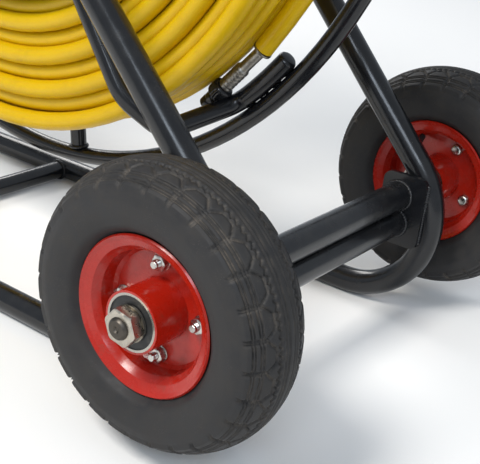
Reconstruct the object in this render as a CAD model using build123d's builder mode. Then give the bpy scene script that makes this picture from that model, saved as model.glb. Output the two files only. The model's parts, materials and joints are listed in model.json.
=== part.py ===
from build123d import *

import math
import os

# Garden hose reel cart. Millimetres, +Z up, +Y towards the pulling handle, +X along the wheel axle.
# The origin is the middle of the cart's plan on the floor.

# Driving dimensions
TUBE_R = 15.0  # frame tube, outside
TUBE_WALL = 2.0
SIDE_X = 173.5  # middle plane of each side frame
LEG_ANGLE = 46.3  # slope of the long leg
LEG_FOOT_Y = -167.7  # where the leg's axis would meet the base tube's axis, from the axle
BEND_R = 98.0
BASE_LENGTH = 800.0  # axle to the front upright
AXLE_HEIGHT = 148.0  # the tyres hang clear of the floor while the cart stands on its base tubes
AXLE_ROD_R = 10.0
CROSS_R = 16.0

TYRE_R = 130.0
TYRE_WIDTH = 86.0
WHEEL_X = 252.3  # middle plane of each wheel
HUB_HALF = 42.0
HUB_R = 28.0
BEARING_R = 26.0
BEARING_WIDTH = 15.0
BEARING_SHOULDER_R = 23.8  # inside of the bearings' outer rings
RIM_LIP_R = 72.2
RIM_LIP_AT = 30.9
RIM_WELL_R = 57.0
BOLT_CIRCLE_R = 43.0
BOLT_TURNS = {"left": -3.0, "right": 25.0}  # angle of each wheel's first rim bolt
VALVE_TURN = 62.0
VALVE_SEAT_R = 51.8

REEL_FORWARD = 442.0  # axle to reel shaft, along +Y
REEL_HEIGHT = 577.0
RING_R = 468.0  # middle of the ring's tube
RING_TUBE_R = 10.0
RING_X = 36.0
ARM_X = -84.0
ARM_TUBE_R = 10.5
SHAFT_R = 15.0
HUB_PLATE_R = 62.0
ARM_COUNT = 4
ARM_TURN = -123.0  # direction of the first arm
SPOKE_TURN = -96.4  # direction of the first ring spoke
DRUM_R = 262.0

HOSE_R = 10.5
HOSE_LAYERS = 8
COIL_OUTER_R = 416.0
COIL_LOW_X = -60.0
COIL_HIGH_X = 25.0
TAIL_FROM = -141.0  # angle where the hose's outer end meets its ferrule
TAIL_SWEEP = -110.0

# Places worked out from them
FRONT_REACH = REEL_FORWARD + RING_R + RING_TUBE_R
AXLE_Y = (TYRE_R - FRONT_REACH) / 2
REEL_Y = AXLE_Y + REEL_FORWARD
LEG_COS = math.cos(math.radians(LEG_ANGLE))
LEG_SIN = math.sin(math.radians(LEG_ANGLE))
LEG_TAN = LEG_SIN / LEG_COS
UPRIGHT_Y = AXLE_Y + BASE_LENGTH
LEG_ZERO_Y = AXLE_Y + LEG_FOOT_Y
LAYER_STEP = HOSE_R * math.sqrt(3)
COIL_INNER_R = COIL_OUTER_R - 2 * HOSE_R - (HOSE_LAYERS - 1) * LAYER_STEP
TAIL_R = COIL_OUTER_R + HOSE_R + 0.2
AXLE = (AXLE_Y, AXLE_HEIGHT)
REEL = (REEL_Y, REEL_HEIGHT)
SIDES = (("left", -1), ("right", 1))

os.makedirs("parts", exist_ok=True)


def save(builder, name):
    builder.part.label = name
    export_step(builder.part, f"parts/{name}.step")


def leg_z(y):
    """Height of the leg's axis above a place along the cart."""
    return TUBE_R + (y - LEG_ZERO_Y) * LEG_TAN


def across(x):
    """Sketch plane across the axle direction: local X is +Y, local Y is +Z, normal +X."""
    return Plane(origin=(x, 0, 0), x_dir=(0, 1, 0), z_dir=(1, 0, 0))


def disc(x, centre, radius, length, bore=0.0):
    """Round piece along +X that starts at x."""
    with BuildPart() as piece:
        with BuildSketch(across(x)):
            with Locations(centre):
                Circle(radius)
                if bore:
                    Circle(bore, mode=Mode.SUBTRACT)
        extrude(amount=length)
    return piece


def discs(starts, centre, radius, length, bore=0.0):
    """The same round piece at several places along one axis."""
    with BuildPart() as group:
        for x in starts:
            with BuildSketch(across(x)):
                with Locations(centre):
                    Circle(radius)
                    if bore:
                        Circle(bore, mode=Mode.SUBTRACT)
            extrude(amount=length)
    return group


def mirrored_starts(inner, length):
    """Low ends of a pair of pieces that lie mirrored about the middle of the cart."""
    return (inner, -inner - length)


def reel_point(x, radius, angle):
    """Point at a radius and angle round the reel's axis."""
    turn = math.radians(angle)
    return Vector(x, REEL_Y + radius * math.cos(turn), REEL_HEIGHT + radius * math.sin(turn))


def bent_tube(points, radii, outer, inner=0.0):
    """Tube along straight runs joined by tangent arcs."""
    with BuildPart() as tube:
        with BuildLine() as path:
            FilletPolyline(*points, radius=radii)
        start = path.line @ 0
        with BuildSketch(Plane(origin=start, z_dir=path.line % 0)):
            Circle(outer)
            if inner:
                Circle(inner, mode=Mode.SUBTRACT)
        sweep(path=path.line)
    return tube


# Side frames: one tube each, from the handle down the leg, round the wheel end and along the floor
LEG_TOP_Y = UPRIGHT_Y + 34.0
CORNER_R = 70.0
UPRIGHT_FOOT = TUBE_R + 2 * CORNER_R
for side, sign in SIDES:
    x = sign * SIDE_X
    side_tube = bent_tube(
        [
            (x, LEG_TOP_Y, leg_z(LEG_TOP_Y)),
            (x, LEG_ZERO_Y, TUBE_R),
            (x, UPRIGHT_Y, TUBE_R),
            (x, UPRIGHT_Y, UPRIGHT_FOOT),
        ],
        [BEND_R, CORNER_R],
        TUBE_R,
        TUBE_R - TUBE_WALL,
    )
    save(side_tube, f"side_tube_{side}")

# Front uprights: each stands on its side tube's turned-up end and stops under the leg
under_leg = Plane(
    origin=(0, UPRIGHT_Y, leg_z(UPRIGHT_Y) - (TUBE_R + 0.5) / LEG_COS),
    x_dir=(1, 0, 0),
    z_dir=(0, -LEG_SIN, LEG_COS),
)
with BuildPart() as uprights:
    with BuildSketch(Plane.XY.offset(UPRIGHT_FOOT)):
        with Locations((-SIDE_X, UPRIGHT_Y), (SIDE_X, UPRIGHT_Y)):
            Circle(TUBE_R)
            Circle(TUBE_R - TUBE_WALL, mode=Mode.SUBTRACT)
    extrude(amount=leg_z(UPRIGHT_Y) - UPRIGHT_FOOT)
    split(bisect_by=under_leg, keep=Keep.BOTTOM)
save(uprights, "front_uprights")

# Rubber caps on the legs' tops
with BuildPart() as leg_caps:
    for x in (-SIDE_X, SIDE_X):
        top = Vector(x, LEG_TOP_Y, leg_z(LEG_TOP_Y))
        with BuildSketch(Plane(origin=top, z_dir=(0, LEG_COS, LEG_SIN))):
            Circle(TUBE_R + 1)
        extrude(amount=8)
save(leg_caps, "leg_caps")

# Tubes across the frame
PLATE_T = 6.0
PLATE_X = SIDE_X - TUBE_R - PLATE_T
LOWER_TUBE = (AXLE_Y, AXLE_HEIGHT - 2 * CROSS_R - 0.5)
save(disc(-PLATE_X, AXLE, CROSS_R, 2 * PLATE_X, CROSS_R - 3), "axle_tube")
save(disc(-PLATE_X, LOWER_TUBE, CROSS_R, 2 * PLATE_X, CROSS_R - 3), "lower_cross_tube")
BRACE_INNER = SIDE_X - TUBE_R
BRACE_R = 12.5
floor_brace = disc(-BRACE_INNER, (AXLE_Y + 554, TUBE_R), BRACE_R, 2 * BRACE_INNER, BRACE_R - 2)
save(floor_brace, "floor_cross_tube")
front_brace = disc(-BRACE_INNER, (UPRIGHT_Y, 200), BRACE_R, 2 * BRACE_INNER, BRACE_R - 2)
save(front_brace, "front_cross_tube")
HANDLE_Y = UPRIGHT_Y - 38.0
handle = disc(-BRACE_INNER, (HANDLE_Y, leg_z(HANDLE_Y)), BRACE_R, 2 * BRACE_INNER, BRACE_R - 2)
save(handle, "handle_bar")
GRIP_LENGTH = 250.0
save(disc(-GRIP_LENGTH / 2, (HANDLE_Y, leg_z(HANDLE_Y)), BRACE_R + 4, GRIP_LENGTH, BRACE_R), "handle_grip")

with BuildPart() as axle_plates:
    for start in mirrored_starts(PLATE_X, PLATE_T):
        with BuildSketch(across(start)):
            with Locations((AXLE_Y - 6, AXLE_HEIGHT - CROSS_R)):
                RectangleRounded(54, 84, 10)
            with Locations(AXLE):
                Circle(AXLE_ROD_R + 0.05, mode=Mode.SUBTRACT)
        extrude(amount=PLATE_T)
save(axle_plates, "axle_plates")

# Axle rod, threaded at both ends, with its collars, washers and nuts
ROD_END = WHEEL_X + HUB_HALF + 18.0
with BuildPart() as rod:
    with BuildSketch(across(-ROD_END)):
        with Locations(AXLE):
            Circle(AXLE_ROD_R)
    extrude(amount=2 * ROD_END)
    chamfer(rod.edges().filter_by(GeomType.CIRCLE), 1.5)
save(rod, "axle_rod")
BEARING_FACE = WHEEL_X + HUB_HALF
COLLAR_LENGTH = 15.0
collar_start = WHEEL_X - HUB_HALF - COLLAR_LENGTH
save(discs(mirrored_starts(collar_start, COLLAR_LENGTH), AXLE, 14, COLLAR_LENGTH, AXLE_ROD_R), "axle_collars")
WASHER_T = 2.5
save(discs(mirrored_starts(BEARING_FACE, WASHER_T), AXLE, 16.5, WASHER_T, AXLE_ROD_R), "axle_washers")
NUT_T = 12.0
NUT_FLAT = 30.0
with BuildPart() as nuts:
    for start in mirrored_starts(BEARING_FACE + WASHER_T, NUT_T):
        with BuildSketch(across(start)):
            with Locations(AXLE):
                RegularPolygon(NUT_FLAT / 2, 6, major_radius=False)
                Circle(AXLE_ROD_R, mode=Mode.SUBTRACT)
        extrude(amount=NUT_T)
save(nuts, "axle_nuts")

# Wheel bearings: inner rings and balls stay with the axle, outer rings turn with the wheel
bearing_starts = []
for sign in (-1, 1):
    for end in (-1, 1):
        middle = sign * WHEEL_X + end * (HUB_HALF - BEARING_WIDTH / 2)
        bearing_starts.append(middle - BEARING_WIDTH / 2)
save(discs(bearing_starts, AXLE, 14.5, BEARING_WIDTH, AXLE_ROD_R), "bearing_inner_rings")
SPACER = 2 * (HUB_HALF - BEARING_WIDTH)
spacer_starts = [sign * WHEEL_X - SPACER / 2 for sign in (-1, 1)]
save(discs(spacer_starts, AXLE, 12.5, SPACER, AXLE_ROD_R), "bearing_spacers")
BALL_R = 4.3
BALL_PITCH_R = 19.2
with BuildPart() as balls:
    for start in bearing_starts:
        with Locations(across(start + BEARING_WIDTH / 2)):
            with Locations(AXLE):
                with PolarLocations(BALL_PITCH_R, 8):
                    Sphere(BALL_R)
save(balls, "bearing_balls")


def wheel_plane(middle, outward):
    """Half-section plane of a wheel: local X is outwards along the axle, local Y is the radius."""
    return Plane(origin=(middle, AXLE_Y, AXLE_HEIGHT), x_dir=(outward, 0, 0), z_dir=(0, -outward, 0))


def axle_axis(middle):
    return Axis((middle, AXLE_Y, AXLE_HEIGHT), (1, 0, 0))


def rim_half(middle, outward, bolt_turn):
    """Pressed steel dish: flat web, deep well and a flared, rolled lip."""
    t = 2.6
    gap = 0.1
    with BuildPart() as half:
        with BuildSketch(wheel_plane(middle, outward)):
            with BuildLine():
                Polyline(
                    (gap, HUB_R + 0.1),
                    (gap, RIM_WELL_R),
                    (RIM_LIP_AT - 14, RIM_WELL_R + 1.5),
                    (RIM_LIP_AT - 8, RIM_WELL_R + 6),
                    (RIM_LIP_AT - 5, RIM_LIP_R - 3),
                    (RIM_LIP_AT - 1.5, RIM_LIP_R),
                    (RIM_LIP_AT, RIM_LIP_R - 1.5),
                    (RIM_LIP_AT - 2.2, RIM_LIP_R - 5),
                    (RIM_LIP_AT - 5.2, RIM_WELL_R + 4),
                    (RIM_LIP_AT - 12, RIM_WELL_R + 1.5 - t),
                    (gap + t + 3, RIM_WELL_R - t),
                    (gap + t, RIM_WELL_R - t - 3),
                    (gap + t, HUB_R + 0.1),
                    close=True,
                )
            make_face()
        revolve(axis=axle_axis(middle))
        with BuildSketch(across(middle)):
            with Locations(AXLE):
                with PolarLocations(BOLT_CIRCLE_R, 4, bolt_turn):
                    Circle(4.05)
        extrude(amount=6, both=True, mode=Mode.SUBTRACT)
    return half


def tyre(middle):
    """Tyre casing: round-shouldered outside, hollow inside, beads seated on the rim."""
    half = TYRE_WIDTH / 2
    shoulder = TYRE_R - 16
    with BuildPart() as casing:
        with BuildSketch(wheel_plane(middle, 1)):
            with BuildLine():
                ThreePointArc((-half + 3, 86), (-half, 100), (-half + 5, shoulder))
                ThreePointArc((-half + 5, shoulder), (0, TYRE_R), (half - 5, shoulder))
                ThreePointArc((half - 5, shoulder), (half, 100), (half - 3, 86))
                Polyline((half - 3, 86), (30.5, 74.8), (24.6, 70.3), (21.4, 64.2), (16.2, 60.2), (12, 60.2))
                Polyline((12, 60.2), (14, 68), (half - 12, 90))
                ThreePointArc((half - 12, 90), (half - 8, 101), (half - 12, shoulder - 7))
                ThreePointArc((half - 12, shoulder - 7), (0, TYRE_R - 11), (-half + 12, shoulder - 7))
                ThreePointArc((-half + 12, shoulder - 7), (-half + 8, 101), (-half + 12, 90))
                Polyline((-half + 12, 90), (-14, 68), (-12, 60.2))
                Polyline((-12, 60.2), (-16.2, 60.2), (-21.4, 64.2), (-24.6, 70.3))
                Polyline((-24.6, 70.3), (-30.5, 74.8), (-half + 3, 86))
            make_face()
        revolve(axis=axle_axis(middle))
    return casing


for side, sign in SIDES:
    middle = sign * WHEEL_X
    bolt_turn = BOLT_TURNS[side]
    save(tyre(middle), f"tyre_{side}")
    save(rim_half(middle, sign, bolt_turn), f"rim_outer_{side}")
    save(rim_half(middle, -sign, bolt_turn), f"rim_inner_{side}")

    with BuildPart() as hub:
        with BuildSketch(across(middle - HUB_HALF)):
            with Locations(AXLE):
                Circle(HUB_R)
                Circle(22.0, mode=Mode.SUBTRACT)
        extrude(amount=2 * HUB_HALF)
        for start in (middle - HUB_HALF, middle + HUB_HALF - BEARING_WIDTH):
            with BuildSketch(across(start)):
                with Locations(AXLE):
                    Circle(BEARING_R)
            extrude(amount=BEARING_WIDTH, mode=Mode.SUBTRACT)
    save(hub, f"wheel_hub_{side}")

    seats = (middle - HUB_HALF, middle + HUB_HALF - BEARING_WIDTH)
    save(discs(seats, AXLE, BEARING_R, BEARING_WIDTH, BEARING_SHOULDER_R), f"bearing_outer_rings_{side}")
    seals = (middle - HUB_HALF + 1, middle + HUB_HALF - 2.5)
    save(discs(seals, AXLE, BEARING_SHOULDER_R, 1.5, 14.9), f"bearing_seals_{side}")

    # Rim bolts: head on the wheel's inner face, nut on its outer face
    with BuildPart() as bolts:
        with BuildSketch(across(middle - sign * 2.8)):
            with Locations(AXLE):
                with PolarLocations(BOLT_CIRCLE_R, 4, bolt_turn):
                    RegularPolygon(6.5, 6, major_radius=False)
        extrude(amount=-sign * 5.3)
        with BuildSketch(across(middle - sign * 2.8)):
            with Locations(AXLE):
                with PolarLocations(BOLT_CIRCLE_R, 4, bolt_turn):
                    Circle(4.0)
        extrude(amount=sign * 19.0)
    save(bolts, f"rim_bolts_{side}")
    with BuildPart() as rim_nuts:
        with BuildSketch(across(middle + sign * 2.8)):
            with Locations(AXLE):
                with PolarLocations(BOLT_CIRCLE_R, 4, bolt_turn):
                    RegularPolygon(6.5, 6, major_radius=False)
                    Circle(4.0, mode=Mode.SUBTRACT)
        extrude(amount=sign * 6.8)
    save(rim_nuts, f"rim_nuts_{side}")

    # Valve stem through the inner well
    valve_turn = math.radians(VALVE_TURN)
    seat = Vector(
        middle - sign * 12,
        AXLE_Y + VALVE_SEAT_R * math.cos(valve_turn),
        AXLE_HEIGHT + VALVE_SEAT_R * math.sin(valve_turn),
    )
    lean = Vector(-sign * 0.92, -0.39 * math.cos(valve_turn), -0.39 * math.sin(valve_turn)).normalized()
    with BuildPart() as valve:
        with BuildSketch(Plane(origin=seat, z_dir=lean)):
            Circle(3.6)
        extrude(amount=26)
        with BuildSketch(Plane(origin=seat + lean * 26, z_dir=lean)):
            Circle(4.4)
        extrude(amount=8)
    save(valve, f"valve_stem_{side}")

# Reel: ring, spokes, arms, hub plates, drum and shaft
RING_CENTRE = (RING_X, REEL_Y, REEL_HEIGHT)
with BuildPart() as ring:
    with BuildSketch(Plane(origin=RING_CENTRE, x_dir=(0, 1, 0), z_dir=(0, 0, 1))):
        with Locations((RING_R, 0)):
            Circle(RING_TUBE_R)
            Circle(RING_TUBE_R - TUBE_WALL, mode=Mode.SUBTRACT)
    revolve(axis=Axis(RING_CENTRE, (1, 0, 0)))
save(ring, "reel_ring")

SHAFT_LOW_X = -235.0
SHAFT_HIGH_X = 215.0
save(disc(SHAFT_LOW_X, REEL, SHAFT_R, SHAFT_HIGH_X - SHAFT_LOW_X, SHAFT_R - 4), "reel_shaft")
HUB_PLATE_T = 5.0
BOSS_LENGTH = 2 * RING_TUBE_R
BOSS_R = SHAFT_R + 7
BOSS_GAP = 0.3
hub_places = (
    (ARM_X - ARM_TUBE_R - HUB_PLATE_T, ARM_X - ARM_TUBE_R),
    (RING_X + RING_TUBE_R, RING_X - RING_TUBE_R),
)
with BuildPart() as hub_flanges:
    for plate_start, boss_start in hub_places:
        for start, radius, length in (
            (plate_start, HUB_PLATE_R, HUB_PLATE_T),
            (boss_start, BOSS_R, BOSS_LENGTH),
        ):
            with BuildSketch(across(start)):
                with Locations(REEL):
                    Circle(radius)
                    Circle(SHAFT_R, mode=Mode.SUBTRACT)
            extrude(amount=length)
save(hub_flanges, "hub_flanges")

SPOKE_IN = BOSS_R + BOSS_GAP
ARM_TURNS = [ARM_TURN + index * 360 / ARM_COUNT for index in range(ARM_COUNT)]
with BuildPart() as spokes:
    for index in range(ARM_COUNT):
        turn = SPOKE_TURN + index * 360 / ARM_COUNT
        outward = (reel_point(RING_X, 1, turn) - Vector(*RING_CENTRE)).normalized()
        with BuildSketch(Plane(origin=reel_point(RING_X, SPOKE_IN, turn), z_dir=outward)):
            Circle(RING_TUBE_R)
            Circle(RING_TUBE_R - TUBE_WALL, mode=Mode.SUBTRACT)
        extrude(amount=RING_R - RING_TUBE_R - SPOKE_IN)
save(spokes, "reel_spokes")

# Arms: out across the coil's near face, over its edge and back along the ring's inside
HUG_R = RING_R - RING_TUBE_R - ARM_TUBE_R + 0.6
HUG_X = RING_X - 6
HUG_TURNS = [8 + 3.5 * step for step in range(4)]  # how far back along the ring each point lies
for index, turn in enumerate(ARM_TURNS):
    route = [
        reel_point(ARM_X, SPOKE_IN, turn),
        reel_point(ARM_X, 400, turn - 2),
        reel_point(ARM_X + 22, HUG_R, turn - 4),
    ]
    route += [reel_point(HUG_X, HUG_R, turn - back) for back in HUG_TURNS]
    hug_radii = [HUG_R * 0.8] * (len(HUG_TURNS) - 2)
    arm = bent_tube(route, [60, 26, 20] + hug_radii, ARM_TUBE_R, ARM_TUBE_R - TUBE_WALL)
    save(arm, f"coil_arm_{index + 1}")

DRUM_LOW_X = ARM_X + ARM_TUBE_R
DRUM_HIGH_X = RING_X - RING_TUBE_R
save(disc(DRUM_LOW_X, REEL, DRUM_R, DRUM_HIGH_X - DRUM_LOW_X, DRUM_R - 2), "drum_shell")

# Shaft bearings: a plate under each leg with a plastic bush
BUSH_R = 21.0
BUSH_LENGTH = 16.0
MOUNT_T = 8.0
MOUNT_X = SIDE_X - MOUNT_T / 2
RISE = (TUBE_R + 0.5) / LEG_COS
LOW_Y = REEL_Y - 110
HIGH_Y = REEL_Y + 42
with BuildPart() as shaft_plates:
    for start in mirrored_starts(MOUNT_X, MOUNT_T):
        with BuildSketch(across(start)):
            with BuildLine():
                Polyline(
                    (LOW_Y, leg_z(LOW_Y) - RISE),
                    (HIGH_Y, leg_z(HIGH_Y) - RISE),
                    (HIGH_Y, REEL_HEIGHT - 10),
                    (REEL_Y + 28, REEL_HEIGHT - 34),
                    (REEL_Y - 28, REEL_HEIGHT - 34),
                    (LOW_Y, leg_z(LOW_Y) - RISE - 22),
                    close=True,
                )
            make_face()
            with Locations(REEL):
                Circle(BUSH_R, mode=Mode.SUBTRACT)
        extrude(amount=MOUNT_T)
save(shaft_plates, "shaft_plates")
bush_places = mirrored_starts(SIDE_X - BUSH_LENGTH / 2, BUSH_LENGTH)
save(discs(bush_places, REEL, BUSH_R, BUSH_LENGTH, SHAFT_R + 0.06), "shaft_bushes")

# Shaft collars beside the bushes keep the reel central
COLLAR_X = SIDE_X - BUSH_LENGTH / 2 - 0.5
reel_collars = discs((COLLAR_X - 12, -COLLAR_X), REEL, SHAFT_R + 8, 12, SHAFT_R)
save(reel_collars, "shaft_collars")

# Crank: hub on the shaft's end, arm, spindle and a turning grip
CRANK_X = SHAFT_LOW_X
CRANK_TURN = 68.0
CRANK_LENGTH = 190.0
crank_end = reel_point(CRANK_X, CRANK_LENGTH, CRANK_TURN)
with BuildPart() as crank:
    with BuildSketch(across(CRANK_X - 8)):
        with Locations(((REEL_Y + crank_end.Y) / 2, (REEL_HEIGHT + crank_end.Z) / 2)):
            SlotCenterToCenter(CRANK_LENGTH, 34, rotation=CRANK_TURN)
    extrude(amount=8)
save(crank, "crank_arm")
save(disc(CRANK_X - 16, REEL, 11, 8), "crank_bolt")
GRIP_R = 15.0
SPINDLE_R = 6.0
HANDLE_LENGTH = 50.0
crank_pin = (crank_end.Y, crank_end.Z)
save(disc(CRANK_X - 8 - HANDLE_LENGTH - 6, crank_pin, SPINDLE_R, HANDLE_LENGTH + 6), "crank_spindle")
with BuildPart() as grip:
    with BuildSketch(across(CRANK_X - 9 - HANDLE_LENGTH)):
        with Locations(crank_pin):
            Circle(GRIP_R)
            Circle(SPINDLE_R + 0.06, mode=Mode.SUBTRACT)
    extrude(amount=HANDLE_LENGTH)
    fillet(grip.edges().filter_by(GeomType.CIRCLE).group_by(SortBy.RADIUS)[-1], 4)
save(grip, "crank_grip")

# Water inlet: swivel on the shaft's far end with an elbow and a hose tail
SWIVEL_X = SHAFT_HIGH_X + 0.5
SWIVEL_LENGTH = 34.0
INLET_R = 11.0
INLET_LENGTH = 38.0
INLET_TOP = REEL_HEIGHT - 22.0
with BuildPart() as swivel:
    with BuildSketch(across(SWIVEL_X)):
        with Locations(REEL):
            Circle(18)
    extrude(amount=SWIVEL_LENGTH)
    fillet(swivel.edges().filter_by(GeomType.CIRCLE), 3)
    with BuildSketch(Plane.XY.offset(INLET_TOP)):
        with Locations((SWIVEL_X + SWIVEL_LENGTH / 2, REEL_Y)):
            Circle(INLET_R + 2)
    extrude(amount=REEL_HEIGHT - INLET_TOP)
    with BuildSketch(Plane.XY.offset(INLET_TOP - INLET_LENGTH)):
        with Locations((SWIVEL_X + SWIVEL_LENGTH / 2, REEL_Y)):
            Circle(INLET_R)
    extrude(amount=INLET_LENGTH)
save(swivel, "inlet_swivel")

# Hose: the wound coil, its outer end with a crimped ferrule and a connector, and the drum outlet
save(
    disc(COIL_LOW_X, REEL, COIL_OUTER_R, COIL_HIGH_X - COIL_LOW_X, COIL_INNER_R),
    "hose_winding",
)
TAIL_X = COIL_HIGH_X - HOSE_R - 1


def tail_arc(start, sweep_angle, radius, bore=0.0):
    """Piece of the hose's outer turn, from one angle through another."""
    centre = Vector(TAIL_X, REEL_Y, REEL_HEIGHT)
    turn = math.radians(start)
    out = Vector(0, math.cos(turn), math.sin(turn))
    with BuildPart() as arc:
        with BuildSketch(Plane(origin=centre, x_dir=out, z_dir=Vector(1, 0, 0).cross(out))):
            with Locations((TAIL_R, 0)):
                Circle(radius)
        revolve(axis=Axis(centre, (1, 0, 0)), revolution_arc=sweep_angle)
    return arc


save(tail_arc(TAIL_FROM, TAIL_SWEEP, HOSE_R), "hose_tail")

# Crimped ferrule in two diameters, swivel nut and plug, in line off the hose's end
FERRULE_TURN = 12.3
FERRULE_LIFT = 5.0
end_turn = TAIL_FROM + FERRULE_TURN
ferrule_start = reel_point(TAIL_X, TAIL_R, TAIL_FROM)
ferrule_aim = (reel_point(TAIL_X, TAIL_R + FERRULE_LIFT, end_turn) - ferrule_start).normalized()


def in_line(steps):
    """Round piece along the ferrule's line, from (start, length, radius) steps."""
    with BuildPart() as piece:
        for start, length, radius in steps:
            with BuildSketch(Plane(origin=ferrule_start + ferrule_aim * start, z_dir=ferrule_aim)):
                Circle(radius)
            extrude(amount=length)
    return piece


save(in_line([(1.0, 3, 7.4), (4.0, 30, 6.2), (34.0, 32, 8.2)]), "hose_ferrule")
save(in_line([(66.2, 16, 12.0)]), "hose_nut")
save(in_line([(82.3, 20, 8.5)]), "hose_plug")
save(disc(COIL_LOW_X - 4, (REEL_Y, REEL_HEIGHT + DRUM_R - 24), 9, 30), "drum_outlet")
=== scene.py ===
import json
import math
import random

import bmesh
import bpy
from mathutils import Matrix, Vector


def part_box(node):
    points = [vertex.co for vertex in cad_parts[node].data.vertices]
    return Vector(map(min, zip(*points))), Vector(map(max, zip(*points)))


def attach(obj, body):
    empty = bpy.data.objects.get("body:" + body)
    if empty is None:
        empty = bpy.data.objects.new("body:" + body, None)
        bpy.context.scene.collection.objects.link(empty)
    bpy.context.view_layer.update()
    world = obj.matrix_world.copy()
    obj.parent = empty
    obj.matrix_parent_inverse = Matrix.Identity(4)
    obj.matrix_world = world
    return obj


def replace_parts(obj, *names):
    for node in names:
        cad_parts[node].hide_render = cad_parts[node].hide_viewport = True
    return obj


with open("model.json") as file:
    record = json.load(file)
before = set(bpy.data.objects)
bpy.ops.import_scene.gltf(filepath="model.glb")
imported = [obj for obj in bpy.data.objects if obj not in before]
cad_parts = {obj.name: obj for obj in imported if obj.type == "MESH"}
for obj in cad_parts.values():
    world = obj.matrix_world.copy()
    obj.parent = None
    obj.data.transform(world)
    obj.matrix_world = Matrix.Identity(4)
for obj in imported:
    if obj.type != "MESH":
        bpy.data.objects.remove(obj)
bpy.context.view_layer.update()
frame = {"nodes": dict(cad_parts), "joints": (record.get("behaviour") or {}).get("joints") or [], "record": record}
nodes = frame["nodes"]
joints = {joint["name"]: joint for joint in frame["joints"]}
MM = 0.001
REEL = Vector(joints["reel_spin"]["pos_m"])
AXLES = {side: Vector(joints[f"wheel_{side}_spin"]["pos_m"]) for side in ("left", "right")}
OUTWARD = {"left": -1, "right": 1}
draw = random.Random(7)
CAMERA_PLACE = (-0.8326, -0.8603, 0.5386)


# Camera: the photograph's viewing angle
def make_camera():
    azimuth, elevation, roll = math.radians(37.1), math.radians(27.0), math.radians(5.3)
    ahead = Vector((
        math.cos(elevation) * math.cos(azimuth),
        math.cos(elevation) * math.sin(azimuth),
        -math.sin(elevation),
    ))
    level = Vector((math.sin(azimuth), -math.cos(azimuth), 0))
    upward = level.cross(ahead)
    right = math.cos(roll) * level + math.sin(roll) * upward
    up = -math.sin(roll) * level + math.cos(roll) * upward
    camera = bpy.data.objects.new("camera", bpy.data.cameras.new("camera"))
    bpy.context.scene.collection.objects.link(camera)
    turned = Matrix((right, up, -ahead)).transposed().to_4x4()
    camera.matrix_world = Matrix.Translation(CAMERA_PLACE) @ turned
    camera.data.lens = 74.7
    camera.data.sensor_width = 36
    camera.data.shift_x = 0.103
    camera.data.shift_y = 0.135
    camera.data.clip_start = 0.01
    bpy.context.scene.camera = camera


make_camera()


# Shader building
class Shader:
    """A Principled material and short ways to add nodes to it."""

    def __init__(self, name, **sockets):
        self.material = bpy.data.materials.new(name)
        self.material.use_nodes = True
        self.tree = self.material.node_tree
        self.shader = self.tree.nodes["Principled BSDF"]
        self.place = self.node("ShaderNodeTexCoord").outputs["Object"]
        for socket, value in sockets.items():
            self.shader.inputs[socket.replace("_", " ")].default_value = value

    def node(self, kind, **inputs):
        made = self.tree.nodes.new(kind)
        for socket, value in inputs.items():
            self.feed(made, socket.replace("_", " "), value)
        return made

    def feed(self, target, socket, value):
        if isinstance(value, bpy.types.NodeSocket):
            self.tree.links.new(value, target.inputs[socket])
        else:
            target.inputs[socket].default_value = value

    def noise(self, scale, detail=4.0, roughness=0.55, at=None):
        made = self.node("ShaderNodeTexNoise", Scale=scale, Detail=detail, Roughness=roughness)
        self.tree.links.new(at or self.place, made.inputs["Vector"])
        return made.outputs["Fac"]

    def cells(self, scale, at=None):
        made = self.node("ShaderNodeTexVoronoi", Scale=scale)
        self.tree.links.new(at or self.place, made.inputs["Vector"])
        return made.outputs["Distance"]

    def ramp(self, value, *stops):
        made = self.node("ShaderNodeValToRGB", Fac=value)
        points = made.color_ramp.elements
        while len(points) < len(stops):
            points.new(0.5)
        for point, (at, color) in zip(points, stops):
            point.position = at
            point.color = color if len(color) == 4 else (*color, 1)
        return made.outputs["Color"]

    def levels(self, value, low, high, to_low=0.0, to_high=1.0):
        made = self.node("ShaderNodeMapRange", Value=value)
        made.inputs["From Min"].default_value = low
        made.inputs["From Max"].default_value = high
        made.inputs["To Min"].default_value = to_low
        made.inputs["To Max"].default_value = to_high
        return made.outputs["Result"]

    def math(self, kind, a, b=0.0):
        made = self.tree.nodes.new("ShaderNodeMath")
        made.operation = kind
        for index, value in enumerate((a, b)):
            if isinstance(value, bpy.types.NodeSocket):
                self.tree.links.new(value, made.inputs[index])
            else:
                made.inputs[index].default_value = value
        return made.outputs[0]

    def mix(self, share, a, b):
        made = self.tree.nodes.new("ShaderNodeMix")
        made.data_type = "RGBA"
        for index, value in ((0, share), (6, a), (7, b)):
            if isinstance(value, bpy.types.NodeSocket):
                self.tree.links.new(value, made.inputs[index])
            elif index == 0:
                made.inputs[index].default_value = value
            else:
                made.inputs[index].default_value = (*value, 1)
        return made.outputs[2]

    def split(self):
        return self.node("ShaderNodeSeparateXYZ", Vector=self.place).outputs

    def edges(self, width=0.55):
        """1 on convex edges, from the surface's pointiness."""
        pointed = self.node("ShaderNodeNewGeometry").outputs["Pointiness"]
        return self.levels(pointed, 0.5, width)

    def up_facing(self):
        normal = self.node("ShaderNodeNewGeometry").outputs["Normal"]
        return self.node("ShaderNodeSeparateXYZ", Vector=normal).outputs["Z"]

    def color(self, value):
        self.feed(self.shader, "Base Color", value)

    def rough(self, value):
        self.feed(self.shader, "Roughness", value)

    def metal(self, value):
        self.feed(self.shader, "Metallic", value)

    def bump(self, *layers):
        """Bump layers, each (height, strength, distance in metres)."""
        normal = None
        for height, strength, distance in layers:
            made = self.node("ShaderNodeBump", Strength=strength, Distance=distance, Height=height)
            if normal:
                self.tree.links.new(normal, made.inputs["Normal"])
            normal = made.outputs["Normal"]
        self.tree.links.new(normal, self.shader.inputs["Normal"])


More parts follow.
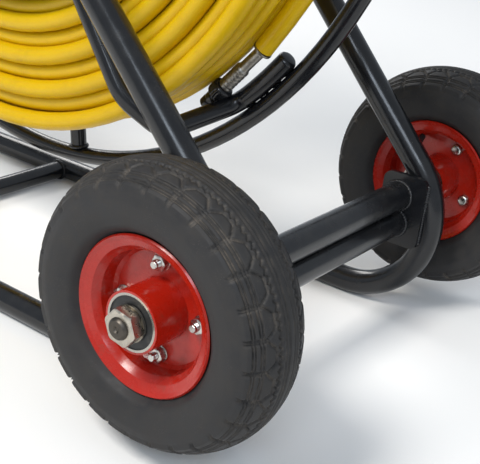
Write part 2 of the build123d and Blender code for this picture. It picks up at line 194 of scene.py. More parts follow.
# Materials
def gloss_black():
    s = Shader("gloss_black", Coat_Weight=0.12, Coat_Roughness=0.1, Specular_IOR_Level=0.42)
    cloudy = s.noise(9, 5)
    fine = s.noise(420, 2)
    settled = s.levels(s.up_facing(), 0.1, 1, 0, 0.16)
    dust_share = s.math("MULTIPLY", settled, s.levels(s.noise(38, 8, 0.7), 0.45, 0.8))
    paint = s.mix(cloudy, (0.004, 0.0045, 0.006), (0.0085, 0.009, 0.0105))
    dusty = s.mix(dust_share, paint, (0.12, 0.11, 0.095))
    specks = s.levels(s.cells(210), 0.07, 0.03)
    rare = s.levels(s.noise(17, 3), 0.6, 0.66)
    chips = s.math("MULTIPLY", specks, rare)
    s.color(s.mix(chips, dusty, (0.2, 0.19, 0.17)))
    polish = s.levels(s.noise(55, 6), 0.3, 0.75, 0.17, 0.3)
    s.rough(s.math("ADD", polish, s.math("MULTIPLY", dust_share, 0.6)))
    s.bump((fine, 0.06, 0.0006), (s.noise(60, 3), 0.08, 0.0015), (chips, 0.25, -0.0002))
    return s.material


def gloss_red():
    s = Shader("gloss_red", Coat_Weight=0.2, Coat_Roughness=0.1, Specular_IOR_Level=0.4)
    cloudy = s.noise(26, 5)
    paint = s.mix(cloudy, (0.3, 0.0085, 0.003), (0.46, 0.016, 0.0055))
    grime = s.math("MULTIPLY", s.levels(s.noise(75, 9, 0.72), 0.56, 0.74), 0.55)
    stained = s.mix(grime, paint, (0.12, 0.04, 0.022))
    scuff = s.math("MULTIPLY", s.levels(s.cells(330), 0.1, 0.04), s.levels(s.noise(24, 3), 0.6, 0.68))
    s.color(s.mix(scuff, stained, (0.1, 0.07, 0.06)))
    s.rough(s.math("ADD", s.levels(s.noise(90, 6), 0.3, 0.75, 0.18, 0.38), s.math("MULTIPLY", grime, 0.4)))
    s.bump((s.noise(300, 2), 0.07, 0.0006), (s.noise(45, 3), 0.12, 0.0016), (scuff, 0.3, -0.0002))
    return s.material


def tyre_rubber():
    s = Shader("tyre_rubber", Specular_IOR_Level=0.28)
    broad = s.noise(11, 6, 0.6)
    dusty = s.levels(s.noise(48, 10, 0.75), 0.38, 0.72)
    rubber = s.mix(broad, (0.015, 0.015, 0.0165), (0.026, 0.0255, 0.026))
    film = s.mix(s.math("MULTIPLY", dusty, 0.4), rubber, (0.06, 0.053, 0.045))
    groove = s.node("ShaderNodeAttribute")
    groove.attribute_name = "groove"
    settled = s.math("MULTIPLY", groove.outputs["Fac"], s.levels(s.noise(75, 6, 0.7), 0.42, 0.68, 0.0, 0.75))
    packed = s.mix(settled, film, (0.16, 0.135, 0.11))
    grains = s.math("MULTIPLY", s.levels(s.cells(700), 0.2, 0.05), s.levels(s.noise(60, 2), 0.52, 0.62))
    s.color(s.mix(s.math("MULTIPLY", grains, 0.5), packed, (0.2, 0.17, 0.14)))
    s.rough(s.levels(dusty, 0, 1, 0.5, 0.78))
    s.bump((s.noise(900, 2), 0.18, 0.0004), (s.noise(130, 5), 0.12, 0.001))
    return s.material


def plated(name, low, high, rough_low, rough_high, dirt=(0.09, 0.075, 0.06), dirt_share=0.5):
    s = Shader(name, Metallic=1.0)
    metal = s.mix(s.noise(120, 6), low, high)
    dirty = s.math("MULTIPLY", s.levels(s.noise(85, 8, 0.7), 0.52, 0.74), dirt_share)
    s.color(s.mix(dirty, metal, dirt))
    polish = s.levels(s.noise(260, 5), 0.3, 0.75, rough_low, rough_high)
    s.rough(s.math("ADD", polish, s.math("MULTIPLY", dirty, 0.4)))
    s.metal(s.levels(dirty, 0, 1, 1, 0.35))
    s.bump((s.noise(800, 3), 0.1, 0.0003), (s.noise(150, 2), 0.1, 0.0006))
    return s.material


def turned(name, low, high, rough_low, rough_high):
    """Metal with fine rings round the cart's cross axis."""
    s = Shader(name, Metallic=1.0)
    rings = s.node("ShaderNodeTexWave", Vector=s.place, Scale=260, Distortion=1.5, Detail=2)
    rings.bands_direction = "X"
    s.color(s.mix(s.noise(90, 6), low, high))
    s.rough(s.levels(s.noise(180, 5), 0.3, 0.75, rough_low, rough_high))
    s.bump((rings.outputs["Fac"], 0.12, 0.0002), (s.noise(500, 3), 0.08, 0.0003))
    return s.material


def moulded_black(name, base=(0.012, 0.012, 0.013), rough_low=0.3, rough_high=0.5, grain=600, strength=0.15):
    s = Shader(name)
    worn = s.levels(s.noise(60, 8, 0.7), 0.5, 0.75)
    lighter = tuple(3 * channel + 0.015 for channel in base)
    s.color(s.mix(s.math("MULTIPLY", worn, 0.5), base, lighter))
    s.rough(s.levels(s.noise(140, 5), 0.3, 0.75, rough_low, rough_high))
    s.bump((s.noise(grain, 3), strength, 0.0005), (s.noise(70, 3), 0.08, 0.001))
    return s.material


def natural_plastic():
    s = Shader("natural_plastic", Subsurface_Weight=0.1, Subsurface_Radius=(0.004, 0.003, 0.002))
    s.color(s.mix(s.noise(70, 6), (0.62, 0.59, 0.52), (0.74, 0.72, 0.66)))
    s.rough(s.levels(s.noise(160, 4), 0.3, 0.75, 0.32, 0.5))
    s.bump((s.noise(500, 3), 0.1, 0.0004))
    return s.material


def yellow_hose():
    s = Shader(
        "yellow_hose", Coat_Weight=0.05, Coat_Roughness=0.2, Specular_IOR_Level=0.28, Subsurface_Weight=0.04,
    )
    cloudy = s.noise(7, 5, 0.6)
    smears = s.levels(s.noise(42, 9, 0.7), 0.5, 0.78)
    skin = s.mix(cloudy, (0.58, 0.35, 0.0), (0.7, 0.45, 0.0008))
    handled = s.mix(s.math("MULTIPLY", smears, 0.35), skin, (0.42, 0.25, 0.012))
    marks = s.math("MULTIPLY", s.levels(s.cells(260), 0.09, 0.04), s.levels(s.noise(13, 3), 0.58, 0.66))
    s.color(s.mix(s.math("MULTIPLY", marks, 0.6), handled, (0.16, 0.1, 0.02)))
    s.rough(s.levels(s.noise(80, 6), 0.3, 0.75, 0.3, 0.46))
    s.bump((s.noise(650, 3), 0.07, 0.0004), (s.noise(30, 4), 0.12, 0.0022))
    return s.material


def brass():
    s = Shader("brass", Metallic=1.0)
    s.color(s.mix(s.noise(80, 7, 0.65), (0.42, 0.27, 0.085), (0.66, 0.47, 0.19)))
    s.rough(s.levels(s.noise(150, 6), 0.3, 0.75, 0.22, 0.42))
    s.bump((s.noise(600, 3), 0.1, 0.0003))
    return s.material


FINISH = {
    "black_paint": gloss_black(),
    "red_paint": gloss_red(),
    "tyre_rubber": tyre_rubber(),
    "bearing_steel": turned("bearing_steel", (0.3, 0.28, 0.25), (0.52, 0.5, 0.46), 0.2, 0.36),
    "seal_rubber": moulded_black("seal_rubber", (0.012, 0.012, 0.012), 0.42, 0.62),
    "bright_zinc": plated(
        "bright_zinc", (0.42, 0.41, 0.385), (0.64, 0.625, 0.59), 0.16, 0.32, dirt_share=0.4,
    ),
    "valve_rubber": moulded_black("valve_rubber", (0.014, 0.014, 0.014), 0.45, 0.65),
    "axle_steel": plated("axle_steel", (0.34, 0.31, 0.26), (0.56, 0.52, 0.45), 0.22, 0.42),
    "shaft_steel": turned("shaft_steel", (0.34, 0.34, 0.34), (0.55, 0.55, 0.54), 0.2, 0.38),
    "cap_rubber": moulded_black("cap_rubber", (0.012, 0.012, 0.012), 0.5, 0.7),
    "grip_rubber": moulded_black("grip_rubber", (0.015, 0.015, 0.016), 0.6, 0.8, grain=350, strength=0.5),
    "grip_plastic": moulded_black("grip_plastic", (0.013, 0.013, 0.014), 0.38, 0.55),
    "bush_plastic": natural_plastic(),
    "inlet_brass": brass(),
    "hose_yellow": yellow_hose(),
    "ferrule_steel": plated(
        "ferrule_steel", (0.2, 0.19, 0.17), (0.4, 0.385, 0.35), 0.25, 0.42, dirt_share=0.6,
    ),
    "connector_black": moulded_black("connector_black", (0.008, 0.008, 0.009), 0.12, 0.28),
}
DARK_THREAD = plated("dark_thread", (0.05, 0.045, 0.04), (0.12, 0.105, 0.09), 0.35, 0.55)

for row in frame["record"]["subparts"]:
    node = nodes[row["node"]]
    node.data.materials.clear()
    node.data.materials.append(FINISH[row["material_slot"]])


# Mesh building
def piece(name, points, faces, finish, body, smooth=True):
    """A mesh object that rides on a body and takes a slot's finish."""
    mesh = bpy.data.meshes.new(name)
    mesh.from_pydata([tuple(point) for point in points], [], faces)
    build = bmesh.new()
    build.from_mesh(mesh)
    bmesh.ops.recalc_face_normals(build, faces=build.faces)
    build.to_mesh(mesh)
    build.free()
    made = bpy.data.objects.new(name, mesh)
    bpy.context.scene.collection.objects.link(made)
    for face in mesh.polygons:
        face.use_smooth = bool(smooth)
    mesh.materials.append(finish if isinstance(finish, bpy.types.Material) else FINISH[finish])
    if smooth == "angle":
        with bpy.context.temp_override(object=made, selected_editable_objects=[made], active_object=made):
            bpy.ops.object.shade_smooth_by_angle(angle=math.radians(35))
    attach(made, body)
    return made


def bead_outline(size):
    """Outline of a rounded weld spot, as (along, radius) pairs."""
    half = [(size * 0.6, size * 0.8), (size, size * 0.15)]
    return [(-size, size * 0.15), (-size * 0.6, size * 0.8), (0, size)] + half


class Solid:
    """Points and faces gathered from several shapes into one mesh."""

    def __init__(self):
        self.points = []
        self.faces = []

    def loops(self, loops, closed=False, caps=True):
        """Skin over equal closed loops of points."""
        start, count = len(self.points), len(loops[0])
        for loop in loops:
            self.points.extend(loop)
        rows = len(loops) if closed else len(loops) - 1
        for row in range(rows):
            low = start + row * count
            high = start + (row + 1) % len(loops) * count
            for index in range(count):
                after = (index + 1) % count
                self.faces.append((low + index, low + after, high + after, high + index))
        if caps and not closed:
            self.faces.append(tuple(range(start, start + count)))
            self.faces.append(tuple(range(start + (rows) * count, start + (rows + 1) * count)))

    def turned(self, origin, axis, outline, sides=48, hex_from=None):
        """Outline of (along, radius) pairs turned about an axis."""
        axis = Vector(axis).normalized()
        side = axis.orthogonal().normalized()
        other = axis.cross(side)
        rings = []
        for along, radius in outline:
            ring = []
            for index in range(sides):
                turn = 2 * math.pi * index / sides
                out = side * math.cos(turn) + other * math.sin(turn)
                ring.append(Vector(origin) + axis * along + out * radius)
            rings.append(ring)
        self.loops(rings)

    def bead(self, centre, axis, radius, size, start=0.0, sweep=2 * math.pi, ripples=40):
        """Weld bead: a rippled ring round an axis."""
        axis = Vector(axis).normalized()
        side = axis.orthogonal().normalized()
        other = axis.cross(side)
        steps = max(12, int(ripples * 4 * sweep / (2 * math.pi)))
        whole = abs(sweep - 2 * math.pi) < 1e-6
        rings = []
        for step in range(steps if whole else steps + 1):
            turn = start + sweep * step / steps
            out = side * math.cos(turn) + other * math.sin(turn)
            swell = size * (1 + 0.16 * math.cos(ripples * turn) + draw.uniform(-0.07, 0.07))
            ring = []
            for index in range(8):
                around = 2 * math.pi * index / 8
                along = axis * swell * math.sin(around)
                ring.append(Vector(centre) + out * (radius + swell * math.cos(around)) + along)
            rings.append(ring)
        self.loops(rings, closed=whole)

    def piece(self, name, finish, body, smooth=True):
        return piece(name, self.points, self.faces, finish, body, smooth)


def ring_turn(index, count, start=0.0):
    return start + 2 * math.pi * index / count


def reel_point(x, radius, angle):
    """Point at a radius and angle round the reel's axis, all in millimetres and degrees."""
    turn = math.radians(angle)
    return Vector((x * MM, REEL.y + radius * MM * math.cos(turn), REEL.z + radius * MM * math.sin(turn)))


def nut_shape(solid, origin, axis, flat, length, bevel, turn=0.0, sides=48):
    """Hexagonal nut with turned-off corners at both ends."""
    axis = Vector(axis).normalized()
    side = Matrix.Rotation(turn, 3, axis) @ axis.orthogonal().normalized()
    other = axis.cross(side)
    corner = flat / math.sqrt(3)
    outline = [(0, corner - bevel * 2.4), (bevel * 0.7, corner - bevel * 0.6), (bevel * 1.4, corner)]
    outline += [(length - along, radius) for along, radius in reversed(outline)]
    rings = []
    for along, limit in outline:
        ring = []
        for index in range(sides):
            around = ring_turn(index, sides)
            to_flat = (around + math.pi / 6) % (math.pi / 3) - math.pi / 6
            radius = min(limit, flat / 2 / math.cos(to_flat))
            out = side * math.cos(around) + other * math.sin(around)
            ring.append(Vector(origin) + axis * along + out * radius)
        rings.append(ring)
    solid.loops(rings)


def threaded(start, end, radius, pitch, depth):
    """Outline of a threaded stretch, as (along, radius) pairs."""
    outline = []
    for index in range(int((end - start) / pitch)):
        along = start + index * pitch
        outline += [(along, radius - depth), (along + pitch * 0.3, radius), (along + pitch * 0.55, radius)]
    return outline


# Hose: one line from the drum through every layer out to the ferrule
HOSE_R = 10.5
LAYER_STEP = HOSE_R * math.sqrt(3)
LAYERS = (3, 3, 3, 4, 3, 4, 3, 4)  # turns in each layer, innermost first
TURN_POINTS = 36
COIL_LOW, COIL_HIGH = -60.0, 25.0
OUTER_R = 405.5
TAIL_X = COIL_HIGH - HOSE_R - 1
TAIL_R = 426.7
TAIL_FROM, TAIL_SWEEP = -141.0, 110.0
CROSSOVER = 0.13  # share of each turn in which the hose steps over to its next place


def hose_places():
    """(x, radius) of each turn, innermost first, in millimetres."""
    wide = [COIL_LOW + HOSE_R + 0.4 + index * 21.2 for index in range(4)]
    narrow = [(low + high) / 2 for low, high in zip(wide, wide[1:])]
    places = []
    forward = True
    for layer, turns in enumerate(LAYERS):
        radius = OUTER_R - (len(LAYERS) - 1 - layer) * LAYER_STEP
        row = wide if turns == 4 else (wide[:3] if layer == 1 else narrow)
        for x in row if forward else reversed(row):
            places.append((x + draw.uniform(-0.7, 0.7), radius + draw.uniform(-0.9, 0.9)))
        forward = not forward
    return places


def hose_line():
    """Control points of the hose, from the drum to the ferrule. The reel unwinds with the angle."""
    places = hose_places()
    inside = 1 / math.cos(math.pi / TURN_POINTS)
    tail_start = TAIL_FROM - TAIL_SWEEP
    total = len(places) * TURN_POINTS
    points = []
    for step in range(total):
        turn, part = divmod(step, TURN_POINTS)
        share = part / TURN_POINTS
        x, radius = places[turn]
        after = places[min(turn + 1, len(places) - 1)]
        if turn == len(places) - 1:
            after = (TAIL_X, TAIL_R)
        move = max(0.0, (share - 1 + CROSSOVER) / CROSSOVER)
        move = move * move * (3 - 2 * move)
        x += (after[0] - x) * move
        radius += (after[1] - radius) * move
        if turn == 0:
            radius -= 12 * max(0.0, 1 - share * 9)
        radius += 0.7 * math.sin(3 * math.radians(360 * share) + turn * 1.7)
        points.append(reel_point(x, radius * inside, tail_start + 360 * share))
    arc_steps = round(TURN_POINTS * TAIL_SWEEP / 360)
    for step in range(arc_steps + 1):
        bulge = inside if 0 < step < arc_steps else 1
        points.append(reel_point(TAIL_X, TAIL_R * bulge, tail_start + TAIL_SWEEP * step / arc_steps))
    return points


def make_hose():
    points = hose_line()
    curve = bpy.data.curves.new("hose", "CURVE")
    curve.dimensions = "3D"
    line = curve.splines.new("NURBS")
    line.points.add(len(points) - 1)
    for control, point in zip(line.points, points):
        control.co = (*point, 1)
    line.order_u = 3
    line.use_endpoint_u = True
    line.resolution_u = 3
    curve.bevel_depth = HOSE_R * MM
    curve.bevel_resolution = 5
    curve.use_fill_caps = True
    curve.materials.append(FINISH["hose_yellow"])
    hose = bpy.data.objects.new("hose", curve)
    bpy.context.scene.collection.objects.link(hose)
    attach(hose, "reel")
    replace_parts(hose, "hose_winding", "hose_tail")
    return hose, points[0]


hose, hose_exit = make_hose()
FERRULE_START = reel_point(TAIL_X, TAIL_R, TAIL_FROM)
FERRULE_AIM = (reel_point(TAIL_X, TAIL_R + 5.0, TAIL_FROM + 12.3) - FERRULE_START).normalized()


def along_ferrule(*outline):
    return [(along * MM, radius * MM) for along, radius in outline]


def make_hose_end():
    """Crimped ferrule, swivel nut and plug."""
    ferrule = Solid()
    outline = [(0.5, 10.8), (1.2, 11.2), (2.5, 11.2), (3.2, 8.0), (4.5, 6.9), (6, 6.3)]
    outline += [(along, 6.3) for along in range(8, 30, 4)]
    outline += [(33, 6.4), (34.5, 7.6), (35.5, 8.2)]
    for index in range(5):
        at = 38 + index * 5.4
        outline += [(at, 8.3), (at + 1, 8.3), (at + 2.0, 7.75), (at + 3.4, 7.75), (at + 4.4, 8.3)]
    outline += [(65.0, 8.3), (65.8, 7.9), (66.1, 7.2)]
    ferrule.turned(FERRULE_START, FERRULE_AIM, along_ferrule(*outline), sides=40)
    made_ferrule = ferrule.piece("hose_end_ferrule", "ferrule_steel", "reel", "angle")
    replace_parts(made_ferrule, "hose_ferrule")

    nut = Solid()
    side = FERRULE_AIM.orthogonal().normalized()
    other = FERRULE_AIM.cross(side)
    rings = []
    for along, radius, flute in (
        (66.2, 8.2, 0), (66.6, 9.6, 0), (67.6, 11.2, 0), (69.2, 12, 0.2), (70.6, 12, 1), (75, 12, 1),
        (79.6, 12, 1), (80.6, 11.8, 0.2), (81.6, 11.0, 0), (82.2, 9.4, 0),
    ):
        ring = []
        for index in range(120):
            around = ring_turn(index, 120)
            out = radius - flute * 0.55 * (0.5 + 0.5 * math.cos(20 * around)) ** 2
            spread = side * math.cos(around) + other * math.sin(around)
            ring.append(FERRULE_START + FERRULE_AIM * along * MM + spread * out * MM)
        rings.append(ring)
    nut.loops(rings)
    made_nut = nut.piece("hose_end_nut", "connector_black", "reel", "angle")
    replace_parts(made_nut, "hose_nut")

    plug = Solid()
    outline = [(82.3, 7.2), (84, 8.3), (90, 8.5), (91, 8.0)]
    outline += [(92.4, 8.0), (93.4, 8.5), (100.6, 8.4), (101.8, 7.4)]
    outline += [(102.1, 6.2), (101.4, 5.4), (92, 5.2)]
    plug.turned(FERRULE_START, FERRULE_AIM, along_ferrule(*outline), sides=40)
    made_plug = plug.piece("hose_end_plug", "connector_black", "reel", "angle")
    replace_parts(made_plug, "hose_plug")
    return [made_ferrule, made_nut, made_plug]


make_hose_end()


# Tyres
PITCHES = 28
PITCH_STEPS = 20
CROWN_R = 53.1  # radius of the tread's section
CROWN_REACH = 42.3  # half the tread's width along its section
CROWN_MIDDLE = 76.9
TREAD_STEP = 1.0  # how far the side lies below the tread's edge, in millimetres


def dip(distance, width):
    """1 at the middle of a groove and 0 outside its width."""
    share = max(0.0, 1 - abs(distance) / (width / 2))
    return min(1.0, 1.6 * share)


def tread_depth(across, pitch):
    """Depth of the tread's pattern in millimetres, across the tyre and along one pitch of it."""
    side = abs(across)
    around = min(pitch, 1 - pitch)  # distance from the lateral groove, in pitches
    pitch_mm = around * 27.5
    depth = 0.0
    if side > 25:
        deep = 2.6 if side < 37 else 3.4
        depth = max(depth, deep * dip(pitch_mm - 1.7, 2.2), deep * dip(pitch_mm + 1.7, 2.2))
        depth = max(depth, 1.0 * dip(pitch_mm, 5.5))
    for at in (28.0, 30.6, 35.0, 37.4):
        depth = max(depth, 2.0 * dip(side - at, 1.9))
    if 17 <= side <= 26.5:
        slant = (26 - side) / 9 * 0.3 * 27.5
        depth = max(depth, 2.6 * dip(pitch_mm - slant, 3.4))
    if around > 0.27:
        depth = max(depth, 2.6 * dip(side - 17, 2.6))
    wave = abs((pitch * 4) % 1 - 0.5) * 2
    depth = max(depth, 2.4 * dip(side - 11.2 - 3.4 * wave, 2.8))
    depth = max(depth, 1.5 * dip(side - 3.2, 2.2), 1.1 * dip(side - 7.2, 2.0))
    return depth


def tread_rows():
    rows = []
    at = 0.0
    while at < CROWN_REACH:
        rows.append(at)
        at += 1.0 if at < 26 else 0.62
    return [-row for row in reversed(rows[1:])] + rows


def sidewall(side, count=16):
    """Side of the tyre from its bead to its shoulder, as (x, radius) pairs."""
    bead, low, high, shoulder = (30.6, 74.9), (44.0, 80.0), (44.6, 104.0), (38.2, 113.8)
    points = []
    for index in range(count):
        t = index / count
        weights = ((1 - t) ** 3, 3 * t * (1 - t) ** 2, 3 * t * t * (1 - t), t ** 3)
        x = sum(w * p[0] for w, p in zip(weights, (bead, low, high, shoulder)))
        radius = sum(w * p[1] for w, p in zip(weights, (bead, low, high, shoulder)))
        ridge = 0.35 if index in (3, 11) else 0.0
        lowered = 1.5 * min(1.0, index / 5) * TREAD_STEP
        points.append((side * (x + ridge - lowered), radius - lowered * max(0.0, (radius - 100) / 12)))
    return points


def make_tyre(side):
    centre = AXLES[side]
    foot = [(21.6, 64.3), (24.8, 70.3)]
    profile = [(-x, radius, None) for x, radius in foot]
    profile += [(x, radius, None) for x, radius in sidewall(-1)]
    for across in tread_rows():
        turn = across / CROWN_R
        profile.append((CROWN_R * math.sin(turn), CROWN_MIDDLE + CROWN_R * math.cos(turn), across))
    profile += [(x, radius, None) for x, radius in reversed(sidewall(1))]
    profile += [(x, radius, None) for x, radius in reversed(foot)]
    count = PITCHES * PITCH_STEPS
    rings, grooves = [], []
    for step in range(count):
        angle = 2 * math.pi * step / count
        ring = []
        for x, radius, across in profile:
            depth = 0.0
            if across is not None:
                pitch = (step / PITCH_STEPS + (0.5 if across > 0 else 0.0)) % 1
                depth = tread_depth(across, pitch)
                turn = across / CROWN_R
                x -= depth * math.sin(turn)
                radius -= depth * math.cos(turn)
            grooves.append(min(1.0, depth / 2.2))
            ring.append(centre + Vector((x, radius * math.cos(angle), radius * math.sin(angle))) * MM)
        rings.append(ring)
    solid = Solid()
    solid.loops(rings, closed=True)
    made = solid.piece(f"tread_tyre_{side}", "tyre_rubber", f"wheel_{side}")
    attribute = made.data.attributes.new("groove", "FLOAT", "POINT")
    attribute.data.foreach_set("value", grooves)
    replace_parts(made, f"tyre_{side}")


for side in AXLES:
    make_tyre(side)


# Wheel fasteners
HUB_HALF = 42.0
WASHER = 2.5
BOLT_TURNS = {"left": -3.0, "right": 25.0}


def make_wheel_fasteners(side):
    outward = OUTWARD[side]
    axis = (outward, 0, 0)
    middle = AXLES[side]
    nuts, bolts = Solid(), Solid()
    for index in range(4):
        turn = math.radians(BOLT_TURNS[side]) + index * math.pi / 2
        place = middle + Vector((0, 43 * math.cos(turn), 43 * math.sin(turn))) * MM
        washer = [(2.75, 5), (2.75, 7.6), (3.0, 7.9), (3.9, 7.9), (4.1, 7.5)]
        nuts.turned(place, axis, along_ferrule(*washer), sides=32)
        nut_shape(nuts, place + Vector(axis) * 4.1 * MM, axis, 13 * MM, 6.6 * MM, 0.7 * MM, turn * 3 + index)
        outline = [(-8.2, 2.6), (-8.0, 4.4), (-7.2, 5.8), (-6.0, 6.6), (-4.2, 7.0), (-2.9, 7.0), (-2.8, 4)]
        outline += threaded(10.0, 15.4, 4.0, 1.25, 0.55) + [(15.6, 3.6), (16.2, 3.0)]
        bolts.turned(place, axis, along_ferrule(*outline), sides=28)
    made_nuts = nuts.piece(f"rim_nut_set_{side}", "bright_zinc", f"wheel_{side}", "angle")
    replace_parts(made_nuts, f"rim_nuts_{side}")
    made_bolts = bolts.piece(f"rim_bolt_set_{side}", "bright_zinc", f"wheel_{side}", "angle")
    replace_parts(made_bolts, f"rim_bolts_{side}")


for side in AXLES:
    make_wheel_fasteners(side)


def make_axle_ends():
    low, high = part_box("axle_rod")
    half = (high.x - low.x) / 2 / MM
    nut_at = AXLES["right"].x / MM + HUB_HALF + WASHER
    threads = threaded(nut_at - 8, half - 2.4, 10.0, 1.75, 0.7)
    end = [(half - 1.6, 9.4), (half - 0.1, 7.8), (half - 0.1, 3.2), (half - 1.6, 1.6)]
    right = [(nut_at - 9, 9.97)] + threads + end
    outline = [(-along, radius) for along, radius in reversed(right)] + right
    rod = Solid()
    rod.turned((0, AXLES["left"].y, AXLES["left"].z), (1, 0, 0), along_ferrule(*outline), sides=56)
    made = rod.piece("threaded_axle_rod", DARK_THREAD, "frame", "angle")
    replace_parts(made, "axle_rod")
    nuts = Solid()
    for side, outward in OUTWARD.items():
        middle = AXLES[side]
        face = Vector((middle.x + outward * (HUB_HALF + WASHER) * MM, middle.y, middle.z))
        turn = 0.35 if outward > 0 else 0.1
        nut_shape(nuts, face, (outward, 0, 0), 30 * MM, 12 * MM, 1.5 * MM, turn, sides=96)
    made = nuts.piece("chamfered_axle_nuts", "axle_steel", "frame", "angle")
    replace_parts(made, "axle_nuts")


make_axle_ends()


# Grips, inlet and weld beads
def make_handle_grip():
    low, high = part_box("handle_grip")
    middle = (low + high) / 2
    half = (high.x - low.x) / 2 / MM
    outline = [(-half, 12.6), (-half, 15.4), (-half + 1.5, 16.4), (-half + 4, 16.4)]
    along = -half + 6
    while along < half - 7:
        outline += [(along, 16.4), (along + 0.7, 15.5), (along + 1.9, 15.5), (along + 2.6, 16.4)]
        along += 5.0
    outline += [(half - 4, 16.4), (half - 1.5, 16.4), (half, 15.4), (half, 12.6)]
    grip = Solid()
    grip.turned(middle, (1, 0, 0), along_ferrule(*outline), sides=44)
    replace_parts(grip.piece("ribbed_handle_grip", "grip_rubber", "frame", "angle"), "handle_grip")


def make_crank_grip():
    low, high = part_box("crank_grip")
    middle = (low + high) / 2
    half = (high.x - low.x) / 2 / MM
    outline = [(-half, 6.1), (-half, 11.5), (-half + 1.2, 13.8), (-half + 4, 14.9), (-half + 8, 14.6)]
    outline += [(-half + 14, 13.4), (0, 12.9), (half - 14, 13.2), (half - 7, 14.2), (half - 3, 14.9)]
    outline += [(half - 0.8, 14.2), (half, 12.4), (half, 6.1)]
    grip = Solid()
    grip.turned(middle, (1, 0, 0), along_ferrule(*outline), sides=44)
    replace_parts(grip.piece("waisted_crank_grip", "grip_plastic", "crank_grip", "angle"), "crank_grip")


def make_inlet():
    low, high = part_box("inlet_swivel")
    start = Vector((low.x, REEL.y, REEL.z))
    length = (high.x - low.x) / MM
    solid = Solid()
    body = [(0, 15.2), (0, 16.8), (1, 17.9), (9, 17.9), (9.6, 16.6), (11, 16.6), (11.6, 17.9)]
    body += [(length - 2.5, 17.9), (length - 0.8, 17.0), (length, 15.0)]
    solid.turned(start, (1, 0, 0), along_ferrule(*body), sides=56)
    tail_top = Vector((low.x + 17 * MM, REEL.y, REEL.z - 12 * MM))
    depth = (tail_top.z - low.z) / MM
    barbs = [(0, 12.9), (9.2, 12.9), (10, 12.2), (10.2, 10.9)]
    for index in range(4):
        at = 12 + index * 8.6
        barbs += [(at, 9.6), (at + 0.8, 9.6), (at + 0.9, 10.9), (at + 2.2, 10.9), (at + 7.6, 9.7)]
    barbs += [(depth - 1, 9.4), (depth, 8.8), (depth, 6.6), (depth - 12, 6.4)]
    solid.turned(tail_top, (0, 0, -1), along_ferrule(*barbs), sides=48)
    made = solid.piece("barbed_inlet_swivel", "inlet_brass", "inlet_swivel", "angle")
    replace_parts(made, "inlet_swivel")


make_handle_grip()
make_crank_grip()
make_inlet()

RING_X, RING_R = 36.0, 468.0
RING_TUBE_R, ARM_TUBE_R = 10.0, 10.5
SPOKE_TURN, ARM_TURN = -96.4, -123.0
ARM_X = -84.0
SHAFT_R = 15.0
ARM_TAIL_X, ARM_TAIL_R = 30.0, 448.1


def make_reel_welds():
    welds = Solid()
    centre = reel_point(RING_X, 0, 0)
    for index in range(4):
        spoke = SPOKE_TURN + 90 * index
        outward = (reel_point(RING_X, 1, spoke) - centre).normalized()
        foot = reel_point(RING_X, RING_R - RING_TUBE_R - 1.2, spoke)
        welds.bead(foot, outward, 10.6 * MM, 2.1 * MM, ripples=26)
        welds.bead(reel_point(RING_X, 23.5, spoke), outward, 10.2 * MM, 1.9 * MM, ripples=26)
        arm = ARM_TURN + 90 * index
        arm_out = (reel_point(RING_X, 1, arm) - centre).normalized()
        welds.bead(reel_point(ARM_X, 24.5, arm), arm_out, 10.6 * MM, 1.9 * MM, ripples=26)
        tip = arm - 18.5
        tip_aim = reel_point(ARM_TAIL_X, ARM_TAIL_R, tip) - reel_point(ARM_TAIL_X, ARM_TAIL_R, tip + 3.5)
        tip_aim.normalize()
        dome = [(-1.2, 10.2), (0, 10.45), (1.6, 9.9), (3.2, 8.2), (4.2, 5.6), (4.7, 2.4)]
        welds.turned(reel_point(ARM_TAIL_X, ARM_TAIL_R, tip), tip_aim, along_ferrule(*dome), sides=32)
        for first in (9.0, 11.6, 14.2, 16.8):
            for part in range(7):
                at = reel_point(RING_X - 3.5, RING_R - RING_TUBE_R - 0.9, arm - first - part * 0.24)
                size = (1.7 + draw.uniform(-0.3, 0.35)) * MM
                ball = bead_outline(size)
                welds.turned(at, (1, 0, 0), ball, sides=12)
    for x in (-94.5, 46.0):
        away = math.copysign(1, x)
        welds.bead(reel_point(x + 5 * away, 0, 0), (1, 0, 0), (SHAFT_R + 0.6) * MM, 2.2 * MM)
    welds.piece("reel_welds", "black_paint", "reel")


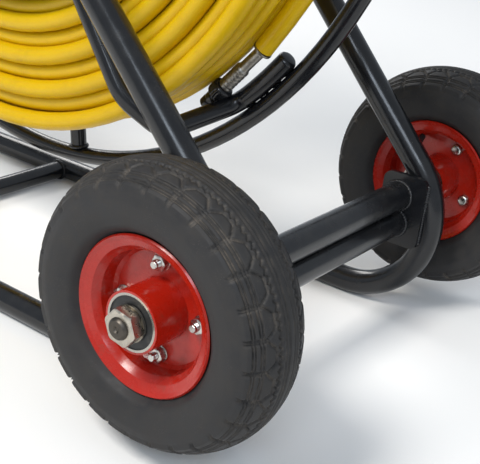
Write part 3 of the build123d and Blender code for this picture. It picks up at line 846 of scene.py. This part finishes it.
def make_frame_welds():
    welds = Solid()
    axle = AXLES["left"]
    for sign in (-1, 1):
        for node, radius, inner in (("axle_tube", 16, 0.4), ("lower_cross_tube", 16, 0.4)):
            low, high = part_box(node)
            middle = (low + high) / 2
            at = Vector((sign * ((high.x - low.x) / 2 - inner * MM), middle.y, middle.z))
            welds.bead(at, (1, 0, 0), (radius + 0.4) * MM, 2.4 * MM, ripples=34)
        for node in ("floor_cross_tube", "front_cross_tube", "handle_bar"):
            low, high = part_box(node)
            middle = (low + high) / 2
            radius = (high.z - low.z) / 2
            at = Vector((sign * ((high.x - low.x) / 2 + 1.2 * MM), middle.y, middle.z))
            welds.bead(at, (1, 0, 0), radius + 0.3 * MM, 2.4 * MM, ripples=30)
        low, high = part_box("front_uprights")
        at = Vector((sign * 173.5 * MM, (low.y + high.y) / 2, low.z))
        welds.bead(at, (0, 0, 1), 15.1 * MM, 1.5 * MM, ripples=36)
    for sign in (-1, 1):
        low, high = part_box("axle_plates")
        for edge_y in (low.y, high.y):
            for step in range(26):
                z = low.z + (high.z - low.z) * (0.1 + 0.8 * step / 25)
                size = (2.3 + draw.uniform(-0.35, 0.35)) * MM
                inset = 0.5 * MM if edge_y < axle.y else -0.5 * MM
                at = Vector((sign * (high.x - 0.5 * MM), edge_y + inset, z))
                ball = bead_outline(size)
                welds.turned(at, (0, 1, 0), ball, sides=10)
    welds.piece("frame_welds", "black_paint", "frame")


make_reel_welds()
make_frame_welds()


# Softened edges on the flat and turned CAD pieces
def soften(name, width, sides=2):
    bevel = nodes[name].modifiers.new("soft_edges", "BEVEL")
    bevel.width = width * MM
    bevel.segments = sides
    bevel.limit_method = "ANGLE"
    bevel.angle_limit = math.radians(50)
    bevel.harden_normals = True


for name in ("shaft_plates", "axle_plates", "crank_arm", "hub_flanges", "leg_caps"):
    soften(name, 0.8)


# Floor, sky and lights
def make_stage():
    bpy.ops.mesh.primitive_plane_add(size=40, location=(0, 0, -0.0005))
    floor = bpy.context.object
    floor.name = "floor"
    paint = Shader("floor")
    paint.color(paint.mix(paint.noise(0.6, 2), (0.93, 0.92, 0.9), (0.95, 0.94, 0.925)))
    paint.shader.inputs["Roughness"].default_value = 0.9
    floor.data.materials.append(paint.material)
    world = bpy.data.worlds.new("sky")
    bpy.context.scene.world = world
    world.use_nodes = True
    world.node_tree.nodes["Background"].inputs["Color"].default_value = (0.82, 0.9, 1.0, 1)
    world.node_tree.nodes["Background"].inputs["Strength"].default_value = 0.55


def softbox(name, place, target, size, power, color):
    light = bpy.data.lights.new(name, "AREA")
    light.shape = "RECTANGLE"
    light.size, light.size_y = size
    light.energy = power
    light.color = color
    lamp = bpy.data.objects.new(name, light)
    bpy.context.scene.collection.objects.link(lamp)
    lamp.location = place
    lamp.rotation_euler = (Vector(target) - Vector(place)).to_track_quat("-Z", "Y").to_euler()


make_stage()
softbox("key", (-2.2, 0.2, 3.0), (0, 0, 0.4), (1.0, 1.0), 95, (1.0, 0.97, 0.92))
softbox("sky_left", (-2.6, -2.0, 2.4), (0, 0, 0.4), (1.6, 0.8), 34, (0.78, 0.88, 1.0))
softbox("back", (1.6, 2.6, 2.2), (0, 0, 0.5), (2.0, 1.0), 50, (1.0, 0.98, 0.95))
bpy.context.scene.view_settings.view_transform = "Standard"
